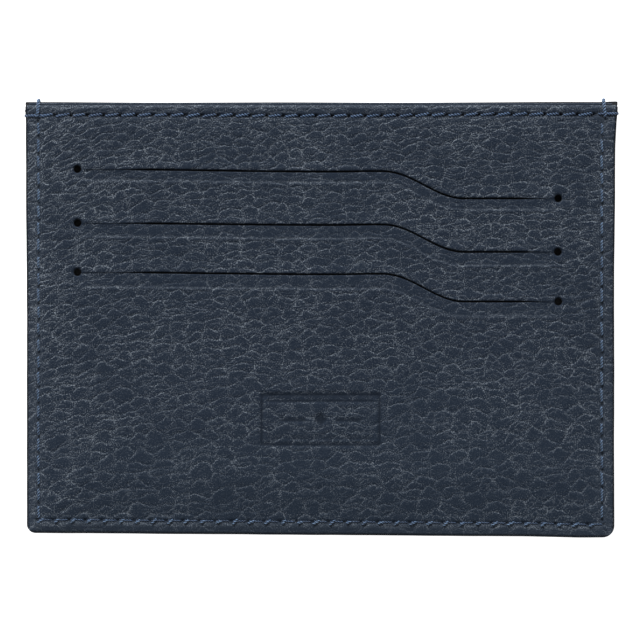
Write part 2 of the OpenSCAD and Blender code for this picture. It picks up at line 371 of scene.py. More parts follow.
# ---------------------------------------------------------------- a leather panel
def panel(name, front):
    """The grained leather panel: outer face with real slots, cut edges and inner face.
    The back is the same cut turned round, so it's built as a front and then turned."""
    top_fn = edge_top_front if front else (lambda x: edge_top_back(-x))
    e_left = edge_left if front else (lambda y: -edge_right(y) - 0.18 * step(y, 38.6, 39.1))
    e_right = edge_right if front else (lambda y: -edge_left(y) + 0.18 * step(y, 38.6, 39.1))
    e_bottom = edge_bottom if front else (lambda x: edge_bottom(-x))
    knots = [BASE_B, -9.0, 8.2, 17.2, 27.0, 36.2, Y_TOP_F if front else Y_TOP_B]
    fns = [e_bottom, lambda x: -9.0 + 0 * x, lambda x: slot_line(2, x), lambda x: slot_line(1, x),
           lambda x: slot_line(0, x), lambda x: 36.2 + 0 * x, top_fn]
    cols = grown(-X_HALF, X_HALF, 0.43, [(-44.3, 0.9, 0.12), (43.3, 0.9, 0.12), (-X_HALF, 0.45, 0.1), (X_HALF, 0.45, 0.1),
                                        (-51.45, 0.4, 0.17), (51.45, 0.4, 0.17)])
    cols = snap(cols, [h + s * R_HOLE for hs in HOLES[:1] for h in hs for s in (-1, 1)])
    rows = grown(knots[0], knots[-1], 0.40, [(v, 0.35, 0.12) for v in knots[2:5]] +
                 [(v - o, 0.25, 0.13) for v, o in zip(knots[4:1:-1], CREASE_OFF)] +
                 [(knots[-1], 0.9, 0.12), (knots[-1] - HEM_IN - 0.1, 0.45, 0.16), (31.5, 3.0, 0.30),
                  (knots[0], 0.45, 0.1), (knots[0] + BOTTOM_IN, 0.4, 0.17)])
    rows = snap(rows, knots[2:5])
    slot_rows = [int(np.argmin(np.abs(rows - v))) for v in (27.0, 17.2, 8.2)]
    nx, ny = len(cols), len(rows)
    X, V = np.meshgrid(cols, rows)
    Y = np.zeros_like(X)
    base = np.array([f(X[0]) for f in fns])
    for j, v in enumerate(rows):
        i = int(np.clip(np.searchsorted(knots, v, side="right") - 1, 0, len(knots) - 2))
        t = (v - knots[i]) / (knots[i + 1] - knots[i])
        Y[j] = base[i] * (1 - t) + base[i + 1] * t
    # the cuts open: rows on each side of a cut move apart
    lower = {}
    for k, j in enumerate(slot_rows):
        o = slot_half_width(k, cols)
        for jj in range(ny):
            d = rows[jj] - rows[j]
            if jj != j and abs(d) < 1.7:
                Y[jj] += math.copysign(1, d) * o * (1 - abs(d) / 1.7)
        lower[j] = Y[j] - o
        Y[j] = Y[j] + o
    # side edges, which aren't quite straight
    L, R = e_left(Y), e_right(Y)
    X = np.where(X < 0, X * (-L / X_HALF) ** 1.0, X * (R / X_HALF))
    # holes keep their place, so only the outer 8 mm follows the edge
    f = step(np.abs(np.meshgrid(cols, rows)[0]), 45.5, X_HALF)
    X0 = np.meshgrid(cols, rows)[0]
    X = X0 + (X - X0) * f
    # round the two bottom corners
    for s in (-1, 1):
        r = R_CORNER[s if front else -s]
        a = np.clip((s * X0 - (X_HALF - r)) / r, 0, 1)
        b = np.clip(((knots[0] + r) - V) / r, 0, 1)
        both = (a > 0) & (b > 0)
        da = a * np.sqrt(1 - b * b / 2) - a
        db = b * np.sqrt(1 - a * a / 2) - b
        X = np.where(both, X + s * r * da, X)
        Y = np.where(both, Y - r * db, Y)
    for s in (-1, 1):                # the mouth corners are only slightly eased
        r = 0.2
        a = np.clip((s * X0 - (X_HALF - r)) / r, 0, 1)
        b = np.clip((V - (knots[-1] - r)) / r, 0, 1)
        both = (a > 0) & (b > 0)
        X = np.where(both, X + s * r * (a * np.sqrt(1 - b * b / 2) - a), X)
        Y = np.where(both, Y + r * (b * np.sqrt(1 - a * a / 2) - b), Y)

    index = np.arange(nx * ny).reshape(ny, nx)
    pts = [np.stack([X.ravel(), Y.ravel()], 1)]
    down = {}
    count = nx * ny
    for k, j in enumerate(slot_rows):
        o = slot_half_width(k, cols)
        inside = np.flatnonzero(o > 0)
        ids = index[j].copy()
        ids[inside] = count + np.arange(len(inside))
        pts.append(np.stack([X[j, inside], lower[j][inside]], 1))
        count += len(inside)
        down[j] = (ids, inside)
    P = np.concatenate(pts)

    # faces
    quads = []
    for j in range(ny - 1):
        bottom_ids = index[j]
        top_ids = down[j + 1][0] if j + 1 in down else index[j + 1]
        quads.append(np.stack([bottom_ids[:-1], bottom_ids[1:], top_ids[1:], top_ids[:-1]], 1))
    quads = np.concatenate(quads)

    x, y = P[:, 0], P[:, 1]
    # distances that shape the surface
    d_side = np.minimum(x - e_left(y), e_right(y) - x)
    d_bot = y - e_bottom(x)
    d_top = top_fn(x) - y
    d_edge = np.minimum(np.minimum(d_side, d_bot), d_top)
    seams = stitch_places(top_fn)
    d_hem = y - hem_line(top_fn, x)
    sl = np.array([side_line(-1, t) for t in np.linspace(-40, 40, 161)])
    sr = np.array([side_line(1, t) for t in np.linspace(-40, 40, 161)])
    tt = np.linspace(-40, 40, 161)
    d_l, d_r = x - np.interp(y, tt, sl), x - np.interp(y, tt, sr)
    d_bs = y - bottom_line(x)
    in_y = step(y, BASE_B + BOTTOM_IN - 0.6, BASE_B + BOTTOM_IN + 0.2)
    in_x = step(x, -52.0, -51.3) * (1 - step(x, 51.3, 52.0))
    z = np.zeros(len(P))
    # the stitches sink the leather
    z -= 0.10 * bell(d_l, 0.40) * in_y + 0.07 * bell(d_l, 1.3) * in_y
    z -= 0.10 * bell(d_r, 0.40) * in_y + 0.07 * bell(d_r, 1.3) * in_y
    z -= (0.05 * bell(d_bs, 0.36) + 0.09 * np.where(d_bs > 0, bell(d_bs, 2.6), bell(d_bs, 0.75))) * in_x
    z -= 0.10 * bell(d_hem, 0.32) + 0.02 * bell(d_hem, 0.9)
    # needle holes: a dip in the face, also painted near black as shade in the hole
    holes = np.zeros(len(P))
    for kind, sx, sy, ang, ln in seams:
        near = np.flatnonzero((np.abs(x - sx) < 2.6) & (np.abs(y - sy) < 2.6))
        for s in (-1, 1):
            hx = sx + s * math.cos(ang) * (ln / 2 + 0.27)
            hy = sy + s * math.sin(ang) * (ln / 2 + 0.27) * (0.35 if kind == "hem" else 1.0) - (0.06 if kind == "hem" else 0.0)
            r2 = ((x[near] - hx) / 0.30) ** 2 + ((y[near] - hy) / 0.24) ** 2
            holes[near] = np.maximum(holes[near], np.exp(-r2) * {"hem": 1.0, "side": 0.22, "bottom": 0.5}[kind])
    z -= 0.30 * holes
    # the rolled mouth edge: a shoulder that turns down to the edge
    z -= 0.14 * (1 - step(d_top, 0.0, 0.16)) ** 1.5 + (0.13 + 0.03 * wave(x, 13, 0.5)) * (1 - step(d_top, 0.05, 0.62))
    z -= 0.015 * step(d_top, 0.55, 1.35) * (1 - step(d_top, 2.0, 3.4))
    # cut edges round over
    dd = np.minimum(d_side, d_bot)
    z -= 0.20 * (1 - step(dd, 0.0, 0.45)) ** 1.5 + (0.09 + 0.07 * step(d_bot - d_side, 0, 1.5)) * (1 - step(dd, 0.0, 1.9))
    # below each cut a lower, smoother band ends in a crease
    smooth_band = np.zeros(len(P))
    slit_shade_and_stamp_dark = np.zeros(len(P))
    fold = np.zeros(len(P))
    for k in range(3):
        xa, xb = HOLES[k]
        c = slot_line(k, x)
        e = 0.02
        slope = (slot_line(k, x + e) - slot_line(k, x - e)) / (2 * e)
        d = (y - c) / np.sqrt(1 + slope ** 2)
        along = step(x, xa - 0.6, xa + 2.5) * (1 - step(x, xb - 2.5, xb + 0.6))
        open_ = step(x, xa + 5, xa + 15) * (1 - step(x, xb - 8, xb - 1.5))
        jit = np.interp(x, np.arange(-54, 54.2, 0.42), np.random.RandomState(90 + k).uniform(-1, 1, 258))
        off = CREASE_OFF[k] + 0.06 * wave(x, 40 + k, 7) + 0.10 * jit
        band = along * step(d, -off - 0.12, -off + 0.16) * (1 - step(d, -0.02 - 0.5 * (1 - open_), 0.04))
        z -= 0.062 * band * (0.8 + 0.45 * jit) * (0.75 + 0.25 * step(d, -off, -0.2))
        z -= 0.03 * along * bell(d + off - 0.05, 0.20)
        z += 0.03 * along * bell(d + off + 0.30, 0.3)
        smooth_band = np.maximum(smooth_band, band * 0.45)
        # a dotted painted highlight along the step of each crease, added to the panel's painted highlights below
        quick = np.interp(x, np.arange(-54, 54.2, 0.31), np.random.RandomState(95 + k).uniform(0, 1, 350))
        fold = fold + 0.34 * along * bell(d + off - 0.04 - 0.10 * (quick - 0.5), 0.20) * (0.12 + quick ** 2) * (1 - 0.55 * bell(x - 19, 9))
        smooth_band = np.maximum(smooth_band, along * bell(d, 0.30) * 0.6)
        # lips: the edge of the cut turns down, and the upper lip stands slightly proud
        z += 0.07 * along * bell(d - 0.55, 0.8) * (d > 0)
        lipd = np.abs(d) - np.interp(x, cols, slot_half_width(k, cols))
        z -= 0.07 * (1 - step(lipd, 0.0, 0.16)) * along * (0.08 + 0.92 * open_)
        # painted shade along the lips of the cut
        slit_shade_and_stamp_dark = np.maximum(slit_shade_and_stamp_dark, (1 - step(lipd, 0.0, 0.09)) * along * (0.04 + 0.96 * open_))
        for xc in (xa, xb):
            rr = np.hypot(x - xc, y - slot_line(k, np.array(xc))) - R_HOLE
            z -= 0.12 * (1 - step(rr, 0.0, 0.3)) + 0.05 * (1 - step(rr, 0.0, 1.3))
            # painted shade round each stop hole
            slit_shade_and_stamp_dark = np.maximum(slit_shade_and_stamp_dark, 1 - step(rr, 0.0, 0.12))
            smooth_band = np.maximum(smooth_band, 0.75 * (1 - step(rr, 0.1, 0.7)))
    # slow unevenness of a soft panel over card pockets
    rs = np.random.RandomState(11)
    for _ in range(14):
        kx, ky, ph = rs.uniform(-0.16, 0.16), rs.uniform(-0.20, 0.20), rs.uniform(0, 6.28)
        z += 0.012 * np.sin(kx * x + ky * y + ph)
    # the edges of the linings show faintly through
    for yy, wgt in ((27.0 - 45 - 2.4, 0.035), (17.2 - 45 - 2.4, 0.03)):
        z -= wgt * step(yy - y + 0.1 * wave(x, 8, 9), -0.5, 0.7)
    grain = np.ones(len(P))
    grain *= 1 - 0.12 * (1 - step(dd, 0.3, 2.4))
    # painted highlights along the rolled mouth edge, on the puckers just outside the bottom seam, just under the mouth
    # stitches and along the crease under each slot; painted light along the side seams, and lighter along the side
    # edges
    pucker = 0.6 + 0.4 * np.cos(2 * np.pi * (x - 50.3) / (100.6 / 34))
    painted_highlight = 0.16 * bell(d_top - 0.30, 0.30) * (1 + 0.35 * wave(x, 14, 1.1)) * (1 - 0.25 * step(x, 0, 40))
    painted_highlight = painted_highlight + 0.045 * step(d_side, 0.3, 0.6) * (1 - step(d_side, 1.2, 3.4)) * (1 - 0.25 * step(x, -10, 10))
    painted_highlight = painted_highlight + 0.17 * pucker * step(-d_bs, -0.05, 0.28) * (1 - step(-d_bs, 0.45, 1.25)) * in_x + 0.035 * in_x * step(-d_bs, 0.3, 0.9)
    painted_highlight = painted_highlight + 0.05 * in_y * (bell(d_l, 0.9) + bell(d_r, 0.9))
    painted_highlight = painted_highlight + 0.02 * step(d_top, 0.8, 1.2) * (1 - step(d_top, 1.5, 1.7)) + 0.06 * (0.7 + 0.3 * wave(x, 15, 0.9)) * step(-d_hem, 0.2, 0.4) * (1 - step(-d_hem, 0.5, 1.1))
    painted_highlight = np.clip(painted_highlight + fold, 0, 1)
    grain *= 1 - 0.45 * step(d_top, 0.75, 1.1) * (1 - step(d_top, 1.75, 2.1))
    grain *= 1 - 0.5 * step(-d_bs, 0.7, 1.3) * in_x
    grain *= 1 + 0.35 * (1 - step(d_top, 0.4, 0.9))
    grain *= 1 - 0.65 * (bell(d_l, 0.35) * in_y + bell(d_r, 0.35) * in_y)
    grain *= 1 - 0.6 * bell(d_bs, 0.4) * in_x
    grain *= 1 - smooth_band
    # livelier towards the upper left
    grain *= 1.0 + 0.16 * step(y, -30, 36) * (1 - 0.6 * step(x, -50, 50)) - 0.12 * (1 - step(y, -36, -10)) * bell(x, 30)
    if front:
        sx, sy = x, y + 18.45
        m = stamp_mask(sx, sy)
        z -= 0.16 * m
        grain *= 1 - 0.8 * m
        # darker in the stamp, through the same mask as the painted shade
        slit_shade_and_stamp_dark = np.maximum(slit_shade_and_stamp_dark, 0.42 * m)
    # grain: peaks stay at the nominal face, crevices sink below it
    shift = np.array([0.0, 0.0]) if front else np.array([211.0, 87.0])
    q = np.stack([x + shift[0], y + shift[1], 0 * x], 1)
    gh = run_on_points(q, lambda g, p: grain_height(g, p, wide=True)[0])
    z += (gh - 0.01) * grain * RELIEF
    k = crush(x, y)
    z_out = Z_MID + (Z_FRONT - Z_MID) * k + z
    if not front:
        z_out = np.minimum(z_out, Z_FRONT - 0.005)
    verts = np.column_stack([P, z_out])
    n_out = len(verts)

    # boundary loops
    per = list(index[0]) + list(index[1:, -1]) + list(index[-1, -2::-1]) + list(index[-2:0:-1, 0])
    loops = [(per, False)]
    for k, j in enumerate(slot_rows):
        ids, inside = down[j]
        a, b = inside[0], inside[-1]
        up = list(index[j, a:b + 1])
        dn = list(ids[a:b + 1])
        ta, tb = index[j, a - 1], index[j, b + 1]
        loops.append(([ta] + dn + [tb] + up[::-1], True))
    allv = [verts]
    faces = [tuple(f) for f in quads]
    mats = [0] * len(faces)
    inner_pts, inner_edges = [], []
    total = n_out
    for loop, is_slot in loops:
        loop = np.array(loop)
        q = verts[loop]
        kk = crush(q[:, 0], q[:, 1])
        z_in = Z_MID + (Z_FRONT_IN - Z_MID) * kk
        zt = q[:, 2]
        ring1 = np.column_stack([q[:, 0], q[:, 1], zt * 0.55 + z_in * 0.45])
        ring2 = np.column_stack([q[:, 0], q[:, 1], z_in])
        n = len(loop)
        ids0, ids1, ids2 = loop, total + np.arange(n), total + n + np.arange(n)
        allv += [ring1, ring2]
        total += 2 * n
        for a, b in ((ids0, ids1), (ids1, ids2)):
            a2, b2 = np.roll(a, -1), np.roll(b, -1)
            for f in zip(a, b, b2, a2):
                faces.append(tuple(int(i) for i in f))
                mats.append(1)
        s = len(inner_pts)
        inner_pts += [(p[0], p[1], i) for p, i in zip(ring2, ids2)]
        inner_edges += [(s + i, s + (i + 1) % n) for i in range(n)]
    # inner face
    n_b = len(inner_pts)
    gx, gy = np.meshgrid(np.arange(-51.3, 51.5, 3.0), np.arange(-37.2, 37.5, 3.0))
    extra = np.column_stack([gx.ravel(), gy.ravel()])
    keep = np.ones(len(extra), bool)
    for k in range(3):
        keep &= np.abs(extra[:, 1] - slot_line(k, extra[:, 0])) > 0.9
    extra = extra[keep]
    coords = [Vector((p[0], p[1])) for p in inner_pts] + [Vector(p) for p in extra]
    res = delaunay_2d_cdt(coords, inner_edges, [], 0, 1e-7)
    new_co, tris, orig = res[0], res[2], res[3]
    idmap = {}
    for i, o in enumerate(orig):
        src = min(o) if o else None
        if src is not None and src < n_b:
            idmap[i] = inner_pts[src][2]
        else:
            c = new_co[i]
            kk = float(crush(np.array(c.x), np.array(c.y)))
            allv.append(np.array([[c.x, c.y, Z_MID + (Z_FRONT_IN - Z_MID) * kk]]))
            idmap[i] = total
            total += 1
    nc = np.array([[c.x, c.y] for c in new_co])
    tri = np.array([list(t) for t in tris])
    c = nc[tri].mean(1)
    # keep the triangles inside the outline and outside the slots, by even-odd count
    flat = np.array([[v.x, v.y] for v in coords[:n_b]])
    ends = np.array(inner_edges)
    A, B = flat[ends[:, 0]], flat[ends[:, 1]]
    ok = np.zeros(len(c), bool)
    for i, (px, py) in enumerate(c):
        hit = (A[:, 1] > py) != (B[:, 1] > py)
        a, b = A[hit], B[hit]
        x_at = a[:, 0] + (py - a[:, 1]) / (b[:, 1] - a[:, 1]) * (b[:, 0] - a[:, 0])
        ok[i] = np.count_nonzero(x_at > px) % 2 == 1
    for t in tri[ok]:
        ids = [idmap[int(i)] for i in t]
        if len(set(ids)) == 3:
            faces.append(tuple(ids[::-1]))
            mats.append(2)
    V3 = np.concatenate(allv)
    # the marks handed to the material: painted shade and the darker stamp, edge paint, painted highlights, and matte
    attrs = {"grain": np.concatenate([grain, np.full(len(V3) - n_out, 0.2)]),
             "painted_shade_and_stamp": np.concatenate([np.maximum(holes, slit_shade_and_stamp_dark * 0.85), np.zeros(len(V3) - n_out)]),
             "rim": np.concatenate([np.maximum(np.maximum(1 - step(d_side, 0.10, 0.32), 0.65 - 0.65 * step(d_bot, 0.10, 0.32)), 0.9 - 0.9 * step(d_top, 0.03, 0.14)),
                                    np.ones(len(V3) - n_out)]),
             "painted_highlight": np.concatenate([painted_highlight, np.zeros(len(V3) - n_out)]),
             "matte": np.concatenate([1 - step(d_top, 0.35, 0.9), np.ones(len(V3) - n_out)])}
    if not front:
        V3[:, 0] *= -1
        V3[:, 2] = 2 * Z_MID - V3[:, 2]
    return make_mesh(name, V3, faces, mats, attrs)


def stamp_mask(x, y):
    """A blank frame: a double line with a lozenge and two short bars inside."""
    def box(hx, hy):
        return np.maximum(np.abs(x) - hx, np.abs(y) - hy)

    def line(d, w):
        return 1 - step(np.abs(d) - w / 2, -0.08, 0.12)
    m = line(box(10.7, 4.5), 0.5)
    m = np.maximum(m, line(box(9.65, 3.45), 0.22))
    m = np.maximum(m, 1 - step(np.abs(x) + np.abs(y) - 1.25, -0.1, 0.12))
    for s in (-1, 1):
        m = np.maximum(m, 1 - step(np.maximum(np.abs(x - s * 5) - 2.3, np.abs(y) - 0.22), -0.08, 0.1))
    return m


def make_mesh(name, verts, faces, mats=None, attrs=None, smooth=True, sharp=50):
    mesh = bpy.data.meshes.new(name)
    verts = np.asarray(verts, float) * MM
    mesh.from_pydata([tuple(v) for v in verts], [], [tuple(int(i) for i in f) for f in faces])
    if mats is not None:
        mesh.polygons.foreach_set("material_index", np.asarray(mats, np.int32))
    for k, v in (attrs or {}).items():
        a = mesh.attributes.new(k, "FLOAT", "POINT")
        a.data.foreach_set("value", np.asarray(v, np.float32))
    mesh.validate()
    mesh.update()
    if smooth:
        mesh.shade_smooth()
        if sharp:
            mesh.set_sharp_from_angle(angle=math.radians(sharp))
    obj = bpy.data.objects.new(name, mesh)
    scene.collection.objects.link(obj)
    return obj


# ---------------------------------------------------------------- materials
def material(name):
    m = bpy.data.materials.new(name)
    m.use_nodes = True
    m.node_tree.nodes.clear()
    g = Graph(m.node_tree)
    out = g.n("ShaderNodeOutputMaterial")
    bsdf = g.n("ShaderNodeBsdfPrincipled")
    g.put(out.inputs["Surface"], bsdf.outputs[0])
    return m, g, bsdf


def object_mm(g, shift=(0, 0, 0), flip=False):
    co = g.n("ShaderNodeTexCoord").outputs["Object"]
    p = g.vmath("MULTIPLY", co, (-1000.0 if flip else 1000.0, 1000.0, 1000.0))
    return g.vmath("ADD", p, shift)


def mix_color(g, fac, a, b, blend="MIX"):
    node = g.n("ShaderNodeMix", data_type="RGBA", blend_type=blend)
    g.put(node.inputs[0], fac)
    g.put(node.inputs[6], a)
    g.put(node.inputs[7], b)
    return node.outputs[2]


def attr(g, name):
    return g.n("ShaderNodeAttribute", attribute_name=name).outputs["Fac"]


LEATHER = (0.0180, 0.0283, 0.0480, 1)
# a lighter base for the lower part: painted light that evens out the key light's fall-off
LEATHER_PAINTED_LIGHT_LOW = (0.0210, 0.0328, 0.0535, 1)
LEATHER_DEEP = (0.0030, 0.0050, 0.0080, 1)
# the colour of the painted highlights on the grain and on the lit places of the panel
LEATHER_PAINTED_HIGHLIGHT = (0.2150, 0.2480, 0.2900, 1)
# how strong the painted highlight specks and the painted highlight along the crease rims are
SPECK_HIGHLIGHT, RIM_HIGHLIGHT = 0.85, 0.95
BUMP = 0.9             # how much the shading carries of the grain
RELIEF = 0.35          # and how much the mesh itself


def leather_material(name, flip=False):
    m, g, bsdf = material(name)
    p = object_mm(g, (211.0, 87.0, 0) if flip else (0, 0, 0), flip)
    x, y, _ = g.sep(p)
    flat = g.comb(x, y)
    h, edge, line = grain_height(g, flat)
    amount = attr(g, "grain")
    painted_shade_and_stamp = attr(g, "painted_shade_and_stamp")
    rim = attr(g, "rim")
    tone = g.noise(flat, 0.09, 3.0)
    # painted highlights, not burnish: fine specks near the creases and a line along each crease's upper rim, where the
    # top light would catch
    speck = g.noise(g.vmath("MULTIPLY", flat, (1.0, 0.9, 1.0)), 4.7, 1.0, 0.6)
    near = g.ramp(edge, 0.02, 0.30, 1.0, 0.28)
    speck_highlight = g.math("MULTIPLY", g.ramp(speck, 0.54, 0.76), near)
    grain_highlight = g.math("MAXIMUM", g.math("MULTIPLY", speck_highlight, SPECK_HIGHLIGHT), g.math("MULTIPLY", line, g.ramp(speck, 0.38, 0.66, 0.10 * RIM_HIGHLIGHT, RIM_HIGHLIGHT)))
    grain_highlight = g.math("MULTIPLY", grain_highlight, g.ramp(tone, 0.36, 0.64, 0.75, 1.15))
    # the painted highlights grow stronger towards the mouth and towards the left edge
    grain_highlight = g.math("MULTIPLY", grain_highlight, g.ramp(y, -36.0, 32.0, 0.82, 1.12, "LINEAR"))
    grain_highlight = g.math("MULTIPLY", grain_highlight, g.ramp(x, -52.0, -36.0, 1.45, 1.0, "LINEAR"))
    grain_highlight = g.math("MULTIPLY", grain_highlight, g.math("MINIMUM", amount, 1.0))
    # painted highlights from the panel's own marks, broken into specks
    patch_highlight = g.math("MULTIPLY", attr(g, "painted_highlight"), g.ramp(speck, 0.30, 0.70, 0.55, 1.6))
    # lighter towards the bottom: painted light against the key light's fall-off
    base = mix_color(g, g.ramp(y, -36.0, -4.0, 0.0, 1.0, "LINEAR"), LEATHER_PAINTED_LIGHT_LOW, LEATHER)
    col = mix_color(g, g.math("MINIMUM", g.math("ADD", grain_highlight, patch_highlight), 1.0), base, LEATHER_PAINTED_HIGHLIGHT)
    # darkest at the edge paint on the panels; on the mouth facings the same mark is painted shade inside the mouth
    col = mix_color(g, g.math("MULTIPLY", rim, 0.85), col, LEATHER_DEEP)
    # near black: painted shade in the needle holes, along the slits and round the stop holes, and the darker stamp
    col = mix_color(g, painted_shade_and_stamp, col, (0.0015, 0.0018, 0.0025, 1))
    g.put(bsdf.inputs["Base Color"], col)
    rough = g.ramp(g.noise(flat, 1.7, 3.0), 0.3, 0.7, 0.64, 0.76)
    rough = g.math("ADD", rough, g.math("MULTIPLY", g.math("MAXIMUM", g.math("MAXIMUM", rim, painted_shade_and_stamp), attr(g, "matte")), 0.2))
    g.put(bsdf.inputs["Roughness"], rough)
    bsdf.inputs["IOR"].default_value = 1.45
    bsdf.inputs["Specular IOR Level"].default_value = 0.13
    bump = g.n("ShaderNodeBump")
    bump.inputs["Strength"].default_value = 1.0
    bump.inputs["Distance"].default_value = BUMP * MM
    g.put(bump.inputs["Height"], g.math("MULTIPLY", h, amount))
    g.put(bsdf.inputs["Normal"], bump.outputs[0])
    return m


def edge_material(name):
    m, g, bsdf = material(name)
    p = object_mm(g)
    s = g.vmath("MULTIPLY", p, (1.0, 1.0, 3.0))
    n = g.noise(s, 2.2, 4.0, dim="3D")
    g.put(bsdf.inputs["Base Color"], mix_color(g, g.ramp(n, 0.35, 0.7), (0.004, 0.005, 0.008, 1), (0.012, 0.015, 0.020, 1)))
    g.put(bsdf.inputs["Roughness"], g.ramp(n, 0.3, 0.7, 0.45, 0.7))
    bump = g.n("ShaderNodeBump")
    bump.inputs["Strength"].default_value = 0.8
    bump.inputs["Distance"].default_value = 0.00006
    g.put(bump.inputs["Height"], n)
    g.put(bsdf.inputs["Normal"], bump.outputs[0])
    return m


def suede_material(name):
    m, g, bsdf = material(name)
    p = object_mm(g)
    n = g.noise(p, 6.0, 4.0, 0.65, dim="3D")
    g.put(bsdf.inputs["Base Color"], mix_color(g, g.ramp(n, 0.3, 0.7), (0.010, 0.012, 0.016, 1), (0.026, 0.028, 0.032, 1)))
    bsdf.inputs["Roughness"].default_value = 0.95
    bsdf.inputs["Sheen Weight"].default_value = 0.3
    bump = g.n("ShaderNodeBump")
    bump.inputs["Strength"].default_value = 1.0
    bump.inputs["Distance"].default_value = 0.00008
    g.put(bump.inputs["Height"], n)
    g.put(bsdf.inputs["Normal"], bump.outputs[0])
    return m


def thread_material(name):
    m, g, bsdf = material(name)
    p = object_mm(g)
    n = g.noise(p, 9.0, 3.0, 0.6, dim="3D")
    n2 = g.noise(p, 0.5, 2.0, dim="3D")
    col = mix_color(g, g.ramp(n, 0.3, 0.7), (0.036, 0.084, 0.180, 1), (0.115, 0.215, 0.405, 1))
    col = mix_color(g, g.ramp(n2, 0.35, 0.7, 0.0, 0.4), col, (0.030, 0.050, 0.110, 1))
    # painted highlight, lightening the side stitches, the bottom seam's ticks and the stitches over the mouth
    col = mix_color(g, attr(g, "thread_highlight"), col, (0.200, 0.330, 0.520, 1))
    # painted shade where the thread goes into its holes and between the plies, and a random darkening of some bottom
    # stitches
    col = mix_color(g, attr(g, "thread_shade"), col, (0.004, 0.006, 0.014, 1))
    g.put(bsdf.inputs["Base Color"], col)
    bsdf.inputs["Roughness"].default_value = 0.5
    bsdf.inputs["Sheen Weight"].default_value = 0.25
    bump = g.n("ShaderNodeBump")
    bump.inputs["Strength"].default_value = 0.7
    bump.inputs["Distance"].default_value = 0.00004
    g.put(bump.inputs["Height"], n)
    g.put(bsdf.inputs["Normal"], bump.outputs[0])
    return m


def lining_material(name):
    """A plain weave, 0.34 mm between threads."""
    m, g, bsdf = material(name)
    p = object_mm(g)
    x, y, _ = g.sep(p)
    wx = g.math("SINE", g.math("MULTIPLY", x, 2 * math.pi / 0.34))
    wy = g.math("SINE", g.math("MULTIPLY", y, 2 * math.pi / 0.34))
    over = g.ramp(g.math("MULTIPLY", wx, wy), -0.5, 0.5)
    hx = g.math("ABSOLUTE", wx)
    hy = g.math("ABSOLUTE", wy)
    h = g.math("ADD", g.math("MULTIPLY", over, hx), g.math("MULTIPLY", g.math("SUBTRACT", 1.0, over), hy))
    n = g.noise(p, 0.4, 3.0, dim="3D")
    # painted shade: darker in the hollows of the weave, lighter on its crests
    col = mix_color(g, h, (0.006, 0.006, 0.008, 1), (0.024, 0.025, 0.028, 1))
    col = mix_color(g, g.ramp(n, 0.4, 0.7, 0, 0.3), col, (0.014, 0.014, 0.015, 1))
    g.put(bsdf.inputs["Base Color"], col)
    bsdf.inputs["Roughness"].default_value = 0.75
    bsdf.inputs["Sheen Weight"].default_value = 0.2
    bump = g.n("ShaderNodeBump")
    bump.inputs["Strength"].default_value = 0.8
    bump.inputs["Distance"].default_value = 0.00005
    g.put(bump.inputs["Height"], h)
    g.put(bsdf.inputs["Normal"], bump.outputs[0])
    return m


MAT_LEATHER = leather_material("grained_leather")
MAT_LEATHER_B = leather_material("grained_leather_back", flip=True)
MAT_EDGE = edge_material("edge_paint")
MAT_SUEDE = suede_material("leather_flesh")
MAT_THREAD = thread_material("sewing_thread")
MAT_LINING = lining_material("lining_fabric")
MAT_FACING = leather_material("facing_leather")


def finish_piece(obj, mats, slot_name, *nodes):
    for m in mats:
        obj.data.materials.append(m)
    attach(obj, "root")
    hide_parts(*nodes)
    return obj


front = panel("leather_front", True)
finish_piece(front, [MAT_LEATHER, MAT_EDGE, MAT_SUEDE], "grained_leather", "front_panel")
back = panel("leather_back", False)
finish_piece(back, [MAT_LEATHER_B, MAT_EDGE, MAT_SUEDE], "grained_leather", "back_panel")


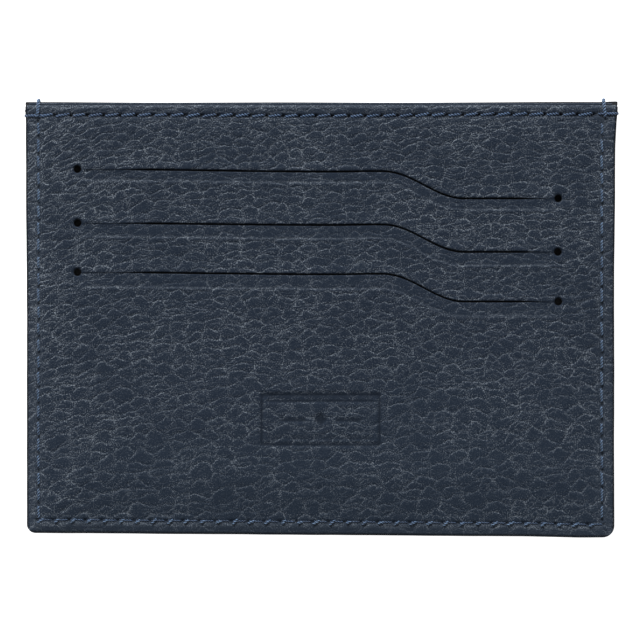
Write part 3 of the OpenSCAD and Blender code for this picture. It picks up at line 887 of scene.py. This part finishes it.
# ---------------------------------------------------------------- threads
def rope(paths, radius, pitch=1.05, plies=2, sides=8, seg=0.10):
    """Twisted thread along each path, which is (points, how far into its hole each point is, thickness, phase, how
    dark, how much painted highlight): (verts, faces, painted shade of each vert, its painted highlight)."""
    dark = [p[4] if len(p) > 4 else 0.0 for p in paths]
    thread_highlight = [p[5] if len(p) > 5 else 0.0 for p in paths]
    V, F, D, L = [], [], [], []
    base = 0
    for which, (path, depth, r0, phase) in enumerate([p[:4] for p in paths]):
        path = np.asarray(path, float)
        d = np.concatenate([[0], np.cumsum(np.linalg.norm(np.diff(path, axis=0), axis=1))])
        n = max(6, int(round(d[-1] / seg)) + 1)
        t = np.linspace(0, d[-1], n)
        c = np.stack([np.interp(t, d, path[:, i]) for i in range(3)], 1)
        for _ in range(2):           # ease the corners
            c[1:-1] = 0.25 * c[:-2] + 0.5 * c[1:-1] + 0.25 * c[2:]
        dep = np.interp(t, d, depth)
        tan = np.gradient(c, axis=0)
        tan /= np.linalg.norm(tan, axis=1)[:, None]
        ref = np.array([0.0, 0.0, 1.0])
        nrm = np.cross(tan, np.cross(ref, tan))
        bad = np.linalg.norm(nrm, axis=1) < 0.15
        nrm[bad] = np.cross(tan[bad], np.array([0.3, 0.9, 0.1]))
        nrm /= np.linalg.norm(nrm, axis=1)[:, None]
        bi = np.cross(tan, nrm)
        R = radius * r0
        taper = np.clip(np.minimum(t, d[-1] - t) / (R * 1.2), 0.35, 1.0)
        for p in range(plies):
            ang = phase - 2 * math.pi * (p / plies + t / pitch)
            off = R * 0.56
            pc = c + (off * np.cos(ang) * taper)[:, None] * bi + (off * np.sin(ang) * taper)[:, None] * nrm
            pt = np.gradient(pc, axis=0)
            pt /= np.linalg.norm(pt, axis=1)[:, None]
            n1 = nrm - (nrm * pt).sum(1)[:, None] * pt
            n1 /= np.linalg.norm(n1, axis=1)[:, None]
            b1 = np.cross(pt, n1)
            pr = R * 0.46 * (0.7 + 0.3 * taper)
            a = np.arange(sides) / sides * 2 * math.pi
            ring = pc[:, None, :] + pr[:, None, None] * (np.cos(a)[None, :, None] * b1[:, None, :] + np.sin(a)[None, :, None] * n1[:, None, :])
            V.append(ring.reshape(-1, 3))
            # painted shade: the strands darken between the plies and where the thread goes into its hole
            out_d = np.linalg.norm(ring - c[:, None, :], axis=2) / R
            groove = 1 - step(out_d, 0.66, 0.98)
            d0 = np.maximum(dep[:, None], groove * 0.92)
            D.append((1 - (1 - d0) * (1 - dark[which])).ravel())
            L.append(np.full(n * sides, thread_highlight[which]))
            idx = base + np.arange(n * sides).reshape(n, sides)
            nxt = np.roll(idx, -1, axis=1)
            F += [tuple(f) for f in np.stack([idx[:-1], nxt[:-1], nxt[1:], idx[1:]], 2).reshape(-1, 4)]
            F.append(tuple(idx[0][::-1]))
            F.append(tuple(idx[-1]))
            base += n * sides
    return np.concatenate(V), F, np.concatenate(D), np.concatenate(L)


class Surface:
    """Looks up the outer face's height on a finished panel."""

    def __init__(self, obj):
        from mathutils.kdtree import KDTree
        me = obj.data
        co = np.zeros(len(me.vertices) * 3)
        me.vertices.foreach_get("co", co)
        co = co.reshape(-1, 3) / MM
        g = np.zeros(len(me.vertices), np.float32)
        me.attributes["rim"].data.foreach_get("value", g)
        pick = np.flatnonzero(g < 0.999)
        self.co = co
        self.tree = KDTree(len(pick))
        for i in pick:
            self.tree.insert((co[i, 0], co[i, 1], 0), int(i))
        self.tree.balance()

    def z(self, x, y):
        hits = self.tree.find_n((x, y, 0), 5)
        return float(np.mean([self.co[i, 2] for _, i, _ in hits]))


def thread_objects(panel_obj, front):
    s = 1 if front else -1
    surf = Surface(panel_obj)
    top_fn = edge_top_front if front else (lambda x: edge_top_back(-x))
    rs = np.random.RandomState(5 if front else 6)
    hem, seam = [], []

    def stitch(x, y, ang, ln, lift, dive):
        ang = ang + rs.uniform(-0.035, 0.035)
        y = y + rs.uniform(-0.04, 0.04)
        ca, sa = math.cos(ang), math.sin(ang)
        half = ln / 2
        zc = surf.z(x if front else -x, y)
        pts, dep = [], []
        # the last number is painted shade, full where the thread dives into its hole
        for t, h, dp in ((-1.14, -dive, 1.0), (-1.04, -0.16, 0.6), (-0.86, lift * 0.7, 0.0), (-0.45, lift, 0.0), (0.0, lift * 1.05, 0.0),
                         (0.45, lift, 0.0), (0.86, lift * 0.7, 0.05), (1.04, -0.16, 0.6), (1.14, -dive, 1.0)):
            px, py = x + ca * half * t, y + sa * half * t
            pts.append(((px if front else -px), py, zc + s * h))
            dep.append(dp)
        return pts, dep

    for kind, x, y, ang, ln in stitch_places(top_fn):
        if kind == "hem":
            if abs(x) > 50.6:
                continue
            pts, dep = stitch(x, y, ang, ln * rs.uniform(0.92, 1.0), -0.04, 0.40)
            hem.append((pts, dep, rs.uniform(0.94, 1.06), rs.uniform(0, 6.28)))
        elif kind == "side":
            # side stitches: lightened with a painted highlight by a random amount
            pts, dep = stitch(x, y, ang + 0.03, ln * rs.uniform(0.80, 1.0), 0.10, 0.42)
            seam.append((pts, dep, 0.90, rs.uniform(0, 6.28), 0.0, rs.uniform(0.25, 0.55)))
        else:
            # pulled tight: a thin line that shows best where it comes out of each needle hole
            pts, dep = stitch(x, y, ang + rs.uniform(-0.05, 0.05), ln, 0.0, 0.40)
            seam.append((pts, dep, 0.50, rs.uniform(0, 6.28), rs.uniform(0.0, 0.3)))
            # a short tick out of each needle hole, lightened with a painted highlight
            pts, dep = stitch(x - 0.5 * ln + 0.35, y - 0.16, 0.55 + rs.uniform(-0.3, 0.3), rs.uniform(0.85, 1.35), 0.09, 0.32)
            seam.append((pts, dep, 0.72, rs.uniform(0, 6.28), 0.0, rs.uniform(0.35, 0.8)))
    # the hem thread's ends run out to the panel's side edges
    for sd in (-1, 1):
        y = float(hem_line(top_fn, sd * 52.0)) + (-0.12 if sd < 0 else 0.12)
        xe = (edge_left(np.array(y)) if sd < 0 else edge_right(np.array(y))) if front else (-edge_right(np.array(y)) if sd < 0 else -edge_left(np.array(y)))
        xe = float(xe)
        z0 = surf.z((xe - sd * 0.8) * (1 if front else -1), y)
        w = 1 if front else -1
        pts = [((sd * 50.3) * w, y - 0.1 * sd, z0 - s * 0.45), ((sd * 50.7) * w, y - 0.06 * sd, z0 + s * 0.12), ((sd * 51.8) * w, y, z0 + s * 0.20),
               ((xe - sd * 0.35) * w, y, z0 + s * 0.05), ((xe + sd * 0.12) * w, y, z0 - s * 0.32), ((xe + sd * 0.12) * w, y, z0 - s * 0.85)]
        hem.append((pts, [1, 0.3, 0, 0, 0.1, 0.5], 0.95, 1.0))
    if front:
        # the seam's first stitches go over the mouth edge, through both panels
        for sd in (-1, 1):
            x = sd * 51.5 + (0.25 if sd > 0 else 0.0)
            yt = float(edge_top_back(np.array(x)))
            zf = surf.z(x, yt - 1.4)
            zb = Z_BACK + (Z_FRONT - zf) * 0.9
            for dx, ph in ((0.0, 0.3),):
                pts = [(x + 0.25 * sd, yt - 3.0, zf - 0.5), (x + 0.2 * sd, yt - 2.75, zf + 0.16), (x + 0.1 * sd, yt - 1.9, zf + 0.22), (x + dx, yt - 0.9, zf + 0.14),
                       (x + dx, yt - 0.1, zf - 0.25), (x + dx, yt + 0.24, (zf * 0.75 + zb * 0.25)), (x + dx, yt + 0.28, (zf + zb) / 2), (x + dx, yt + 0.24, (zf * 0.25 + zb * 0.75)),
                       (x + dx, yt - 0.15, zb + 0.28), (x + dx, yt - 0.9, zb + 0.12), (x + dx, yt - 1.9, zb + 0.22), (x + dx, yt - 2.3, zb + 0.7)]
                # lightened a little with a painted highlight
                seam.append((pts, [1, 0.3] + [0.0] * 8 + [0.2, 1.0], 1.2, ph, 0.0, 0.3))
    out = []
    for nm, paths in (("mouth", hem), ("seam", seam)):
        V, F, D, L = rope(paths, 0.27)
        if not front:
            V[:, 2] = np.maximum(V[:, 2], 0.012)
        o = make_mesh(("thread_front_" if front else "thread_back_") + nm, V, F, None, {"thread_shade": D, "thread_highlight": L}, True, None)
        out.append(o)
    return out


tf_hem, tf_seam = thread_objects(front, True)
tb_hem, tb_seam = thread_objects(back, False)
finish_piece(tf_hem, [MAT_THREAD], "sewing_thread", "front_mouth_thread")
finish_piece(tf_seam, [MAT_THREAD], "sewing_thread", "front_seam_thread")
finish_piece(tb_hem, [MAT_THREAD], "sewing_thread", "back_mouth_thread")
finish_piece(tb_seam, [MAT_THREAD], "sewing_thread", "back_seam_thread")


# ---------------------------------------------------------------- the edge coating
def edge_path():
    """Points round the left side, the bottom and the right side, with outward normals."""
    pts = []
    r = R_CORNER[-1]
    for y in np.arange(Y_TOP_F - 0.25, BASE_B + r + 0.3, -0.7):
        pts.append((float(edge_left(np.array(y))), y))
    cx, cy = float(edge_left(np.array(BASE_B + r))) + r, float(edge_bottom(-X_HALF + r)) + r
    for a in np.linspace(math.pi, 1.5 * math.pi, 9):
        pts.append((cx + r * math.cos(a), cy + r * math.sin(a)))
    for x in np.arange(-X_HALF + r + 0.5, X_HALF - R_CORNER[1] - 0.3, 0.8):
        pts.append((x, float(edge_bottom(x))))
    r = R_CORNER[1]
    cx, cy = float(edge_right(np.array(BASE_B + r))) - r, float(edge_bottom(X_HALF - r)) + r
    for a in np.linspace(1.5 * math.pi, 2 * math.pi, 9):
        pts.append((cx + r * math.cos(a), cy + r * math.sin(a)))
    for y in np.arange(BASE_B + r + 0.5, Y_TOP_F - 0.2, 0.7):
        pts.append((float(edge_right(np.array(y))), y))
    p = np.array(pts)
    t = np.gradient(p, axis=0)
    t /= np.linalg.norm(t, axis=1)[:, None]
    n = np.column_stack([t[:, 1], -t[:, 0]])
    n *= np.sign((n * p).sum(1))[:, None]
    return p, n


def coating():
    p, n = edge_path()
    s = np.concatenate([[0], np.cumsum(np.linalg.norm(np.diff(p, axis=0), axis=1))])
    k = crush(p[:, 0] - n[:, 0] * 0.4, p[:, 1] - n[:, 1] * 0.4)
    zt = Z_MID + (Z_FRONT - Z_MID) * k - 0.42
    zb = np.maximum(Z_MID - (Z_FRONT - Z_MID) * k + 0.42, 0.05)
    prof = []
    for f, out in ((0.0, -0.32), (0.0, -0.02), (0.05, 0.075), (0.13, 0.115), (0.22, 0.10), (0.30, 0.085), (0.36, 0.10), (0.5, 0.118), (0.64, 0.10), (0.70, 0.085),
                   (0.78, 0.10), (0.87, 0.115), (0.95, 0.075), (1.0, -0.02), (1.0, -0.32)):
        z = zt * (1 - f) + zb * f
        o = out + (0.018 * wave(s, 50 + int(f * 20), 2.5) if out > 0 else 0)
        prof.append(np.column_stack([p[:, 0] + n[:, 0] * o, p[:, 1] + n[:, 1] * o, z]))
    V = np.stack(prof, 1)
    m, q = V.shape[0], V.shape[1]
    idx = np.arange(m * q).reshape(m, q)
    nxt = np.roll(idx, -1, axis=1)
    F = [tuple(f) for f in np.stack([idx[:-1], idx[1:], nxt[1:], nxt[:-1]], 2).reshape(-1, 4)]
    F += [tuple(idx[0]), tuple(idx[-1][::-1])]
    return make_mesh("painted_edge", V.reshape(-1, 3), F, None, None, True, 60)


coat = coating()
finish_piece(coat, [MAT_EDGE], "edge_paint", "edge_coating")


# ---------------------------------------------------------------- facings and linings
def layer_z(level, x, y, side):
    """The height of a level counted outwards from the middle plane."""
    return Z_MID + side * level * crush(x, y)


def slab(xs, ys, outer, inner):
    """A closed solid between two levels over a grid, its rim eased."""
    X, Y = np.meshgrid(xs, ys)
    ny, nx = X.shape
    zo, zi = outer(X, Y), inner(X, Y)
    mid = (zo + zi) / 2
    d = np.minimum(np.minimum(X - xs[0], xs[-1] - X), np.minimum(Y - ys[0], ys[-1] - Y))
    e = 0.72 + 0.28 * step(d, 0.0, 0.3)
    zo, zi = mid + (zo - mid) * e, mid + (zi - mid) * e
    A = np.stack([X, Y, zo], 2).reshape(-1, 3)
    B = np.stack([X, Y, zi], 2).reshape(-1, 3)
    idx = np.arange(nx * ny).reshape(ny, nx)
    per = np.array(list(idx[0]) + list(idx[1:, -1]) + list(idx[-1, -2::-1]) + list(idx[-2:0:-1, 0]))
    q = np.stack([idx[:-1, :-1], idx[:-1, 1:], idx[1:, 1:], idx[1:, :-1]], 2).reshape(-1, 4)
    n = len(A)
    # the rim bulges a little
    c = A[per].copy()
    dirs = np.zeros((len(per), 2))
    dirs[:, 0] += (A[per][:, 0] >= xs[-1] - 1e-6) * 1.0 - (A[per][:, 0] <= xs[0] + 1e-6) * 1.0
    dirs[:, 1] += (A[per][:, 1] >= ys[-1] - 1e-6) * 1.0 - (A[per][:, 1] <= ys[0] + 1e-6) * 1.0
    thick = np.abs(A[per][:, 2] - B[per][:, 2])
    c[:, :2] += dirs * (0.22 * thick)[:, None]
    c[:, 2] = (A[per][:, 2] + B[per][:, 2]) / 2
    F = [tuple(f) for f in q] + [tuple(f[::-1]) for f in q + n]
    ids = 2 * n + np.arange(len(per))
    for a, b in ((ids, per), (per + n, ids)):
        a2, b2 = np.roll(a, -1), np.roll(b, -1)
        F += [tuple(f) for f in zip(a, a2, b2, b)]
    return np.concatenate([A, B, c]), F


def facing(name, side):
    top = (Y_TOP_F if side > 0 else Y_TOP_B) - 0.1
    xs = np.linspace(-X_HALF + 0.12, X_HALF - 0.12, 150)
    ys = np.concatenate([np.linspace(30.62, top - 1.2, 18), np.linspace(top - 1.0, top, 7)])

    def inner(X, Y):
        lev = 0.40 - 0.32 * step(np.abs(X), 45.5, 51.5)
        return layer_z(lev + 0.02 * wave(X, 61, 5) + 0.16 * step(Y, top - 0.7, top), X, Y, side)

    def outer(X, Y):
        return layer_z(1.20, X, Y, side)
    V, F = slab(xs, ys, outer, inner)
    if side < 0:
        F = [f[::-1] for f in F]
    # painted shade on the facing's strip just inside the mouth, eased off above the front panel's edge; a faint even
    # lightening toward the highlight colour
    return make_mesh(name, V, F, None, {"grain": np.full(len(V), 0.35), "painted_shade_and_stamp": np.zeros(len(V)), "matte": np.ones(len(V)), "painted_highlight": np.full(len(V), 0.02),
                                           "rim": step(V[:, 1], top - 1.1, top - 0.6) * (1 - 0.8 * step(V[:, 1], Y_TOP_F + 0.10, Y_TOP_F + 0.24))}, True, 60)


def lining(name, side, level, y_lo, y_hi, half_w, fold, fold_to, seed):
    """A sheet of lining: up from its bottom edge, and folded back at its top."""
    t = 0.15
    xs = np.linspace(-half_w, half_w, 90)
    prof = [(y, level) for y in np.linspace(y_lo, y_hi - 0.25, 44)]
    if fold > 0:
        m = (level + fold_to) / 2
        rr = (fold_to - level) / 2
        for a in np.linspace(-math.pi / 2, math.pi / 2, 7)[1:-1]:
            prof.append((y_hi - 0.25 + min(0.22, rr) * math.cos(a), m + rr * math.sin(a)))
        for y in np.linspace(y_hi - 0.25, y_hi - fold, 5):
            prof.append((y, fold_to))
    prof = np.array(prof)
    X, I = np.meshgrid(xs, np.arange(len(prof)))
    Y = prof[:, 0][I]
    L = prof[:, 1][I] + 0.014 * wave(X + 0.7 * Y, seed, 5) * (1 - step(np.abs(X), half_w - 8, half_w - 2))
    tan = np.gradient(prof, axis=0)
    tan /= np.linalg.norm(tan, axis=1)[:, None]
    ny_, nl = -tan[:, 1][I], tan[:, 0][I]
    rr = 1.6
    a = np.clip((np.abs(X) - (half_w - rr)) / rr, 0, 1)
    b = np.clip(((BASE_B + 0.35 + rr) - Y) / rr, 0, 1)
    Xc = X + np.sign(X) * rr * (a * np.sqrt(1 - b * b / 2) - a)
    Y = Y - rr * (b * np.sqrt(1 - a * a / 2) - b)
    X = Xc
    layers = []
    for sgn in (0.5, -0.5):
        y = Y + ny_ * t * sgn
        l = L + nl * t * sgn
        layers.append(np.stack([X, y, layer_z(l, X, y, side)], 2).reshape(-1, 3))
    A, B = layers
    r, c = X.shape
    idx = np.arange(r * c).reshape(r, c)
    q = np.stack([idx[:-1, :-1], idx[:-1, 1:], idx[1:, 1:], idx[1:, :-1]], 2).reshape(-1, 4)
    n = r * c
    per = np.array(list(idx[0]) + list(idx[1:, -1]) + list(idx[-1, -2::-1]) + list(idx[-2:0:-1, 0]))
    F = [tuple(f) for f in q] + [tuple(f[::-1]) for f in q + n]
    a, b = per + n, per
    a2, b2 = np.roll(a, -1), np.roll(b, -1)
    F += [tuple(f) for f in zip(a, a2, b2, b)]
    if side < 0:
        F = [f[::-1] for f in F]
    return make_mesh(name, np.concatenate([A, B]), F, None, None, True, 60)


for side, who in ((1, "front"), (-1, "back")):
    o = facing("facing_" + who, side)
    finish_piece(o, [MAT_FACING], "facing_leather", who + "_mouth_facing")
    for k, (tag, yy) in enumerate((("top", 27.0), ("middle", 17.2), ("bottom", 8.2))):
        lev = 0.38 + 0.28 * k + 0.09
        y_lo = max(yy - 47.4, BASE_B + 0.35)
        y_hi = yy + 3.5
        o = lining("lining_%s_%s" % (who, tag), side, lev, y_lo, y_hi, X_HALF - 0.4, 2.4, 1.12, 70 + k)
        finish_piece(o, [MAT_LINING], "lining_fabric", "%s_%s_pocket_lining" % (who, tag))
    o = lining("lining_centre_" + who, side, 0.29, BASE_B + 0.35, 33.6, X_HALF - 0.4, 0, 0, 80)
    finish_piece(o, [MAT_LINING], "lining_fabric", "centre_pocket_%s_lining" % who)

# ---------------------------------------------------------------- stage and light
floor_mesh = bpy.data.meshes.new("floor")
floor_mesh.from_pydata([(-3, -3, 0), (3, -3, 0), (3, 3, 0), (-3, 3, 0)], [], [(0, 1, 2, 3)])
floor = bpy.data.objects.new("floor", floor_mesh)
floor.location.z = -0.00002
scene.collection.objects.link(floor)
fm, fg, fb = material("floor")
fb.inputs["Base Color"].default_value = (0.85, 0.85, 0.85, 1)
fb.inputs["Emission Color"].default_value = (1, 1, 1, 1)
fb.inputs["Emission Strength"].default_value = 1.0
fb.inputs["Roughness"].default_value = 0.9
fb.inputs["Specular IOR Level"].default_value = 0.1
floor_mesh.materials.append(fm)

world = bpy.data.worlds.new("world")
scene.world = world
world.use_nodes = True
world.node_tree.nodes["Background"].inputs[0].default_value = (1, 1, 1, 1)
world.node_tree.nodes["Background"].inputs[1].default_value = 0.25


def area(name, loc, target, size, size_y, power, color=(1, 1, 1)):
    d = bpy.data.lights.new(name, "AREA")
    d.shape = "RECTANGLE"
    d.size, d.size_y, d.energy, d.color = size, size_y, power, color
    o = bpy.data.objects.new(name, d)
    o.location = loc
    o.rotation_euler = (Vector(target) - Vector(loc)).to_track_quat("-Z", "Y").to_euler()
    scene.collection.objects.link(o)
    return o


area("key", (-0.45, 2.46, 0.99), (0, 0, 0), 1.12, 0.45, 105.0)
scene.view_settings.view_transform = "Standard"
scene.view_settings.look = "None"
